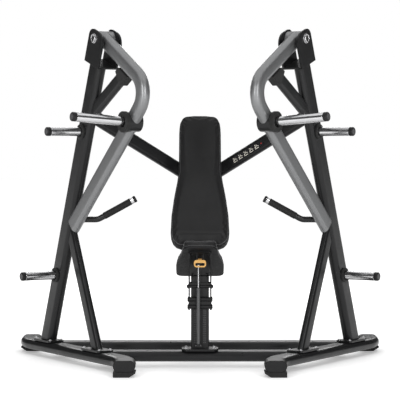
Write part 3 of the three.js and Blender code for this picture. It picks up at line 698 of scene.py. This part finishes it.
def end_cap(node, way, body):
    """A moulded cap on the end of a tube, at the end that looks along way."""
    bm = cad_solid(node)
    centre = Vector(corners(node).mean(0))
    ends = [f for f in bm.faces if f.normal.dot(way) > 0]
    end = max(ends, key=lambda f: (f.calc_center_median() - centre).dot(f.normal))
    outline = [v.co.copy() for v in end.verts]
    normal = end.normal.copy()
    bm.free()
    x_axis = (outline[1] - outline[0]).normalized()
    y_axis = normal.cross(x_axis)
    middle = sum(outline, Vector()) / len(outline)
    flat = [((p - middle).dot(x_axis), (p - middle).dot(y_axis)) for p in outline]
    cap = plate(flat, middle, x_axis, y_axis, 4 * MM)
    rim = [e for e in cap.edges if is_sharp(e)]
    bmesh.ops.bevel(cap, geom=rim, offset=1.4 * MM, segments=3, profile=0.5, affect="EDGES")
    make(f"{node}_end_cap", cap, body, PLASTIC)


def plate_bolts(node, normal, along, inset, body):
    """Four bolts on the back of the plate that carries a pad; the plate is the node's furthest part."""
    points = [Vector(p) for p in corners(node)]
    face = max(p.dot(normal) for p in points)
    near = [p for p in points if p.dot(normal) > face - 1 * MM]
    reach = max(p.x for p in near) - inset
    ends = [p.dot(along) for p in near]
    bolts = []
    for x in (-reach, reach):
        for height in (min(ends) + inset, max(ends) - inset):
            place = Vector((x, 0, 0)) + along * height + normal * (face - 8 * MM)
            bolts.append(domed_bolt(place, -normal, 6 * MM, 5 * MM))
    make(f"{node}_bolts", added(*bolts), body, PLASTIC)


def build_arms():
    for side in SIDES:
        body = f"{side}_arm"
        arm = skin(f"{side}_press_arm", ARM_PAINT)
        blacken_hub(arm, f"{side}_loading_horn")
        skin(f"{side}_lower_arm", ARM_PAINT)
        end_cap(f"{side}_lower_arm", -UP, body)
        skin(f"{side}_handle_tube", FRAME_PAINT)
        welds(f"{side}_lower_arm", [f"{side}_press_arm"], ARM_PAINT)
        welds(f"{side}_handle_tube", [f"{side}_lower_arm"])
        horn(f"{side}_loading_horn", f"{side}_loading_collar", body)
        for level in ("upper", "lower"):
            horn(f"{side}_{level}_storage_horn", f"{side}_{level}_storage_collar", "frame")
        pivot(side)
        grip(side)


# ---------------------------------------------------------------- seat post, gas spring and lever
def gas_spring():
    hint = (0, 0, 1)
    start, axis, length = axis_of("gas_spring_cylinder", hint)
    radius = 9.5 * MM
    body = [
        (0, 0), (radius - 2 * MM, 0), (radius, 2 * MM), (radius, length - 22 * MM),
        (radius - 0.8 * MM, length - 21 * MM),
        (radius - 0.8 * MM, length - 18 * MM), (radius, length - 17 * MM), (radius, length - 3 * MM),
        (radius - 3 * MM, length), (5 * MM, length), (5 * MM, length - 5 * MM), (0, length - 5 * MM),
    ]
    made = turned(rounded(body, 0.8 * MM), start, axis, 40)
    make("gas_spring_barrel", made, "frame", BARREL_GREY, ["gas_spring_cylinder"])
    start, axis, length = axis_of("gas_spring_rod", hint)
    stem = 3 * MM
    rod = [
        (0, 0), (stem, 0), (stem, length - 18 * MM), (6 * MM, length - 17 * MM),
        (8 * MM, length - 14 * MM), (8 * MM, length - 2 * MM), (6 * MM, length), (0, length),
    ]
    made = turned(rounded(rod, 0.6 * MM), start, axis, 36)
    make("gas_spring_stem", made, "seat", ZINC, ["gas_spring_rod"])
    low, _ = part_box("gas_spring_cylinder")
    pin = Vector((start.x - 15 * MM, start.y, low.z - 6 * MM))
    bar = [(0, 0), (4 * MM, 0), (4 * MM, 30 * MM), (0, 30 * MM)]
    made = turned(rounded(bar, 1 * MM), pin, Vector((1, 0, 0)), 24)
    make("gas_spring_pin", made, "frame", ZINC)


def column_slots():
    """Two rows of small slots down the front of the seat post, each a pressed rim round a black plate that
    is painted shade for the hole.
    """
    low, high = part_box("seat_column")
    front = frame_front("seat_column", 0.25)
    x_way = Vector((1, 0, 0))
    rim = rounded_outline(16 * MM, 6.4 * MM, 3.1 * MM, 4)
    hole = rounded_outline(13 * MM, 4.2 * MM, 2 * MM, 4)
    rims = []
    slot_shades = []
    for side in (-1, 1):
        for i in range(SLOT_ROWS):
            origin = Vector((side * 25 * MM, front, low.z + 46 * MM + SLOT_PITCH * i))
            rims.append(plate(rim, origin, x_way, UP, 0.35 * MM))
            # Each hole is a thin black plate on the surface: painted shade, not an opening.
            slot_shades.append(plate(hole, origin, x_way, UP, 0.6 * MM))
    make("seat_column_slot_rims", added(*rims), "frame", GREY_FACE)
    make("seat_column_slot_shade", added(*slot_shades), "frame", RECESS_SHADE_BLACK)
    cap = rounded_outline(high_width("seat_column") - 2 * MM, 58 * MM, 9 * MM)
    middle = Vector((0, (front + 30 * MM), high.z - 2 * MM))
    made = plate(cap, middle, x_way, Vector((0, 1, 0)), 2 * MM)
    make("seat_column_cap", made, "frame", PLASTIC)


def frame_front(node, above):
    """The front face (lowest y) of a node's part that is higher than above."""
    return min(p[1] for p in corners(node) if p[2] > above)


def high_width(node):
    """The width of a node at its top."""
    _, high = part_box(node)
    xs = [p[0] for p in corners(node) if p[2] > high.z - 5 * MM]
    return max(xs) - min(xs)


def carriage_rollers():
    """Rollers across the front of the seat post, and the bolts of the carriage's side plates."""
    low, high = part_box("seat_carriage")
    foot = [p[1] for p in corners("seat_carriage") if p[2] < low.z + 45 * MM]
    x_axis = Vector((1, 0, 0))
    rollers = []
    bolts = []
    for roller in ROLLERS:
        reach, radius = roller["reach"], roller["radius"]
        start = Vector((-reach, min(foot) + 2 * MM, roller["z"]))
        bar = [(0, 0), (radius - 3 * MM, 0), (radius, 3 * MM), (radius, 2 * reach - 3 * MM)]
        bar += [(radius - 3 * MM, 2 * reach), (0, 2 * reach)]
        rollers.append(turned(rounded(bar, 1 * MM), start, x_axis, 32))
        for side in (-1, 1):
            rim = radius + 3 * MM
            collar = [(0, 0), (rim, 0), (rim, 3 * MM), (0, 3 * MM)]
            face = Vector((side * high.x, start.y, start.z))
            rollers.append(turned(rounded(collar, 0.4 * MM, 2), face, x_axis * side, 32))
            place = Vector((side * high.x, max(foot) - 21 * MM, roller["z"]))
            bolts.append(domed_bolt(place, x_axis * side, 5 * MM, 4 * MM))
    make("seat_rollers", added(*rollers), "seat", PLASTIC)
    make("seat_plate_bolts", added(*bolts), "seat", ZINC)


def seat_base_bolts():
    low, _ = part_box("seat_column")
    base = [p for p in corners("seat_column") if p[2] < low.z + 13 * MM]
    top = max(p[2] for p in base)
    middle = (min(p[1] for p in base) + max(p[1] for p in base)) / 2
    bolts = []
    for x in (-77 * MM, 77 * MM):
        for y in (-32 * MM, 32 * MM):
            bolts.append(domed_bolt(Vector((x, middle + y, top)), UP, 7 * MM, 6 * MM))
    make("seat_column_bolts", added(*bolts), "frame", ZINC)


def lever():
    skin("release_lever", LEVER_PAINT, 2.2 * MM, 4)
    start, axis, length = axis_of("lever_pin", (1, 0, 0))
    pin = [(0, 0), (7, 0), (7, 3), (4, 3)]
    near = [(r * MM, h * MM) for r, h in pin]
    far = [(r, length - h) for r, h in reversed(near)]
    made = turned(rounded(near + far, 0.7 * MM), start, axis, 32)
    make("lever_pin_steel", made, "seat", CHROME, ["lever_pin"])


def build_seat_post():
    gas_spring()
    column_slots()
    carriage_rollers()
    seat_base_bolts()
    lever()


# ---------------------------------------------------------------- pads
def pad_axes(node, hint):
    """A pad's front face: its outline and outward normal, and how thick the pad is behind it."""
    bm = cad_solid(node)
    faces = sorted(bm.faces, key=lambda f: f.calc_area())[-2:]
    front = max(faces, key=lambda f: f.normal.dot(Vector(hint)))
    outline = [v.co.copy() for v in front.verts]
    normal = front.normal.copy()
    depth = max(normal.dot(outline[0] - v.co) for v in bm.verts)
    bm.free()
    return outline, normal, depth


def inflate(piece, pinned):
    """Swells a closed mesh as cloth under pressure; pinned points stay, and no point moves far."""
    rest = [v.co.copy() for v in piece.data.vertices]
    group = piece.vertex_groups.new(name="held")
    group.add([i for i, co in enumerate(rest) if pinned(co)], 1.0, "REPLACE")
    cloth = piece.modifiers.new("swell", "CLOTH")
    cloth.settings.use_pressure = True
    cloth.settings.uniform_pressure_force = PAD_PRESSURE
    cloth.settings.vertex_group_mass = "held"
    cloth.settings.effector_weights.gravity = 0
    cloth.settings.tension_stiffness = 18
    cloth.settings.bending_stiffness = 1.2
    cloth.settings.quality = 5
    scene = bpy.context.scene
    for number in range(1, PAD_FRAMES + 1):
        scene.frame_set(number)
    evaluated = piece.evaluated_get(bpy.context.evaluated_depsgraph_get())
    swollen = [v.co.copy() for v in evaluated.data.vertices]
    piece.modifiers.remove(cloth)
    scene.frame_set(1)
    for vert, before, after in zip(piece.data.vertices, rest, swollen):
        move = after - before
        if move.length > PAD_SWELL:
            move *= PAD_SWELL / move.length
        vert.co = before + move


def pad(node, body, hint, crease=None):
    """A padded cushion on a board, with piping round its face and along its side seam."""
    outline, normal, depth = pad_axes(node, hint)
    foam = depth - BOARD
    loop = spaced(outline, 7 * MM)
    middle = sum(loop, Vector()) / len(loop)
    inset = [p + (middle - p).normalized() * PAD_SHRINK for p in loop]
    bm = bmesh.new()
    top = [bm.verts.new(p - normal * PAD_SHRINK) for p in inset]
    bottom = [bm.verts.new(p - normal * foam) for p in inset]
    bm.faces.new(top)
    bm.faces.new(bottom[::-1])
    for i in range(len(top)):
        j = (i + 1) % len(top)
        bm.faces.new([top[j], top[i], bottom[i], bottom[j]])
    bmesh.ops.recalc_face_normals(bm, faces=bm.faces)
    mesh = bpy.data.meshes.new(f"{node}_cushion")
    bm.to_mesh(mesh)
    bm.free()
    piece = bpy.data.objects.new(f"{node}_cushion", mesh)
    bpy.context.scene.collection.objects.link(piece)
    remesh = piece.modifiers.new("even", "REMESH")
    remesh.mode = "VOXEL"
    remesh.voxel_size = VOXEL
    soften = piece.modifiers.new("soften", "SMOOTH")
    soften.iterations = 3
    bake_modifiers(piece)
    back = middle.dot(normal) - foam + 2 * VOXEL
    inflate(piece, lambda co: co.dot(normal) < back)
    if crease:
        crease(piece, normal)
    smooth = piece.modifiers.new("fine", "SUBSURF")
    smooth.levels = 1
    smooth.render_levels = 1
    bake_modifiers(piece)
    for polygon in piece.data.polygons:
        polygon.use_smooth = True
    piece.data.materials.append(LEATHER)
    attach(piece, body)
    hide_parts(node)
    seam(node, piece, body, loop, middle, normal, foam)
    board_outline(node, body, inset, normal, foam)


def bake_modifiers(piece):
    """Replaces the piece's mesh with what its modifiers make of it."""
    evaluated = piece.evaluated_get(bpy.context.evaluated_depsgraph_get())
    mesh = bpy.data.meshes.new_from_object(evaluated)
    piece.modifiers.clear()
    old = piece.data
    piece.data = mesh
    bpy.data.meshes.remove(old)


def seam(node, piece, body, loop, middle, normal, foam):
    """Piping laid on the cushion: one line round the rim of its face and one round its back edge."""
    bm = bmesh.new()
    bm.from_mesh(piece.data)
    tree = BVHTree.FromBMesh(bm)
    bm.free()
    for label, down in (("face", 15 * MM), ("back", foam - 5 * MM)):
        line = []
        for p in loop:
            outward = (p - middle)
            outward -= normal * outward.dot(normal)
            outward.normalize()
            probe = p + outward * 20 * MM - normal * down
            hit = tree.ray_cast(probe, -outward)[0] or probe
            line.append(hit + outward * 0.4 * MM)
        made = swept(smoothed(line), lambda _: PIPING / 2 if label == "back" else PIPING * 0.62, 10)
        # The piping is real geometry; its lighter colour is a painted highlight.
        make(f"{node}_piping_{label}", made, body, PIPING_HIGHLIGHT, sharp=math.radians(80))


def smoothed(line, rounds=3):
    for _ in range(rounds):
        line = [(line[i - 1] + line[i] * 2 + line[(i + 1) % len(line)]) / 4 for i in range(len(line))]
    return line


def board_outline(node, body, inset, normal, foam):
    """The board that the cushion is stapled to."""
    bm = bmesh.new()
    low = [bm.verts.new(p - normal * (foam + BOARD - 0.4 * MM)) for p in inset]
    high = [bm.verts.new(p - normal * (foam + 0.2 * MM)) for p in inset]
    bm.faces.new(low)
    bm.faces.new(high[::-1])
    for i in range(len(low)):
        j = (i + 1) % len(low)
        bm.faces.new([low[i], low[j], high[j], high[i]])
    bmesh.ops.recalc_face_normals(bm, faces=bm.faces)
    rim = [e for e in bm.edges if is_sharp(e)]
    bmesh.ops.bevel(bm, geom=rim, offset=2 * MM, segments=3, profile=0.5, affect="EDGES")
    make(f"{node}_board", bm, body, PLASTIC)


def backrest_crease(piece, normal):
    """Below the crease the backrest's face slopes away; the crease itself is a sewn groove."""
    up = (UP - normal * UP.dot(normal)).normalized()
    foot = min(v.co.dot(up) for v in piece.data.vertices)
    front = max(v.co.dot(normal) for v in piece.data.vertices)
    for vert in piece.data.vertices:
        height = vert.co.dot(up) - foot
        depth = (front - vert.co.dot(normal)) / (50 * MM)
        share = max(0.0, 1 - depth)
        slope = max(0.0, BACKREST_CREASE - height) / BACKREST_CREASE
        groove = math.exp(-(((height - BACKREST_CREASE) / (7 * MM)) ** 2))
        vert.co -= normal * share * (20 * MM * slope**1.3 + 2.2 * MM * groove)


def build_pads():
    pad("backrest_pad", "frame", (0, -1, 0), backrest_crease)
    pad("seat_pad", "seat", (0, 0, 1))
    for node, bracket, body, hint in (
        ("backrest_pad", "backrest_bracket", "frame", (0, -1, 0)),
        ("seat_pad", "seat_bracket", "seat", (0, 0, 1)),
    ):
        _, normal, _ = pad_axes(node, hint)
        along = Vector((1, 0, 0)).cross(normal).normalized()
        plate_bolts(bracket, normal, along, 22 * MM, body)


# ---------------------------------------------------------------- placard
def placard():
    """A black strip on one back brace with five small abstract marks and a red dot."""
    points = corners("right_back_brace")
    middle = points.mean(0)
    _, vectors = np.linalg.eigh(np.cov((points - middle).T))
    along = Vector(vectors[:, 2])
    if along.x < 0:
        along = -along
    upward = (UP - along * UP.dot(along)).normalized()
    normal = along.cross(upward).normalized()
    if normal.y > 0:
        normal = -normal
    front = max(Vector(p).dot(normal) for p in points)
    centre = Vector(middle) + along * ((PLACARD["x"] - middle[0]) / along.x)
    centre += normal * (front - centre.dot(normal))
    outline = rounded_outline(PLACARD["length"], PLACARD["height"], 4 * MM)
    base = plate(outline, centre, along, upward, PLACARD["thickness"])
    make("placard", base, "frame", PLACARD_BLACK)
    raised = centre + normal * PLACARD["thickness"]
    marks = []
    for i in range(5):
        place = raised + along * (PLACARD["length"] * (0.17 * i - 0.41)) + upward * 1 * MM
        marks += pictogram(place, along, upward)
    make("placard_marks", added(*marks), "frame", PLACARD_MARK)
    dot = ring_points(3.4 * MM, 24)
    place = raised + along * PLACARD["length"] * 0.42
    make("placard_dot", plate(dot, place, along, upward, 0.3 * MM), "frame", PLACARD_RED)


def pictogram(place, along, upward):
    """A disc, two slanting bars and a base line."""
    head = place - along * 8 * MM + upward * 9 * MM
    parts = [plate(ring_points(3.6 * MM, 16), head, along, upward, 0.3 * MM)]
    for x, y, length, angle in ((-2, 1, 22, 48), (8, 0, 20, -24), (1, -12, 30, 0), (-11, -4, 9, 90)):
        turn = math.radians(angle)
        x_way = along * math.cos(turn) + upward * math.sin(turn)
        y_way = upward * math.cos(turn) - along * math.sin(turn)
        origin = place + along * x * MM + upward * y * MM
        bar = rounded_outline(length * MM, 3.6 * MM, 1.7 * MM, 3)
        parts.append(plate(bar, origin, x_way, y_way, 0.3 * MM))
    return parts


# ---------------------------------------------------------------- studio
def build_stage():
    bm = bmesh.new()
    bmesh.ops.create_circle(bm, cap_ends=True, segments=96, radius=FLOOR_RADIUS)
    mesh = bpy.data.meshes.new("floor")
    bm.to_mesh(mesh)
    bm.free()
    surface = Surface("studio_floor", Specular_IOR_Level=0.1)
    surface.colours(surface.noise(0.8, 2), (0.88, 0.88, 0.88), (0.91, 0.91, 0.91))
    surface.roughness(surface.spread(surface.noise(3, 2), 0.7, 0.8))
    surface.shader.inputs["Emission Color"].default_value = (1, 1, 1, 1)
    reach = surface.nodes.new("ShaderNodeVectorMath")
    reach.operation = "LENGTH"
    surface.links.new(surface.place, reach.inputs[0])
    glow = surface.spread(reach.outputs["Value"], 0.34, 0.96, 1.6, 6.0)
    surface.links.new(glow, surface.shader.inputs["Emission Strength"])
    mesh.materials.append(surface.material)
    floor = bpy.data.objects.new("floor", mesh)
    bpy.context.scene.collection.objects.link(floor)


def area_light(name, place, target, size, power):
    data = bpy.data.lights.new(name, "AREA")
    data.shape = "RECTANGLE"
    data.size, data.size_y = size
    data.energy = power
    light = bpy.data.objects.new(name, data)
    light.location = place
    light.rotation_euler = (Vector(target) - Vector(place)).to_track_quat("-Z", "Y").to_euler()
    bpy.context.scene.collection.objects.link(light)


def build_lights():
    """A white backdrop that lights the object only softly, and four panels round the object."""
    world = bpy.data.worlds.new("studio")
    world.use_nodes = True
    nodes = world.node_tree.nodes
    seen = nodes.new("ShaderNodeLightPath").outputs["Is Camera Ray"]
    strength = nodes.new("ShaderNodeMapRange")
    strength.inputs["To Min"].default_value = WORLD_LIGHT
    strength.inputs["To Max"].default_value = 1.0
    world.node_tree.links.new(seen, strength.inputs["Value"])
    world.node_tree.links.new(strength.outputs["Result"], nodes["Background"].inputs["Strength"])
    nodes["Background"].inputs["Color"].default_value = (1, 1, 1, 1)
    bpy.context.scene.world = world
    bpy.context.scene.view_settings.view_transform = "Standard"
    target = (0, 0, 0.9)
    area_light("top_softbox", (0, 0, 5.5), target, (9, 9), 270)
    area_light("left_softbox", (-2.8, -6.6, 2.4), target, (0.35, 4.0), 190)
    area_light("right_softbox", (2.8, -6.6, 2.4), target, (0.35, 4.0), 190)
    area_light("back_softbox", (0, 6.0, 3.2), target, (6, 2), 160)


def build_camera():
    data = bpy.data.cameras.new("camera")
    data.lens = CAMERA["lens"]
    data.sensor_width = 36
    data.clip_end = 60
    camera = bpy.data.objects.new("camera", data)
    camera.location = (0, CAMERA["y"], CAMERA["z"])
    camera.rotation_euler = (math.pi / 2 - CAMERA["pitch"], 0, 0)
    bpy.context.scene.collection.objects.link(camera)
    bpy.context.scene.camera = camera


build_camera()
build_frame()
build_arms()
build_seat_post()
build_pads()
placard()
build_stage()
build_lights()
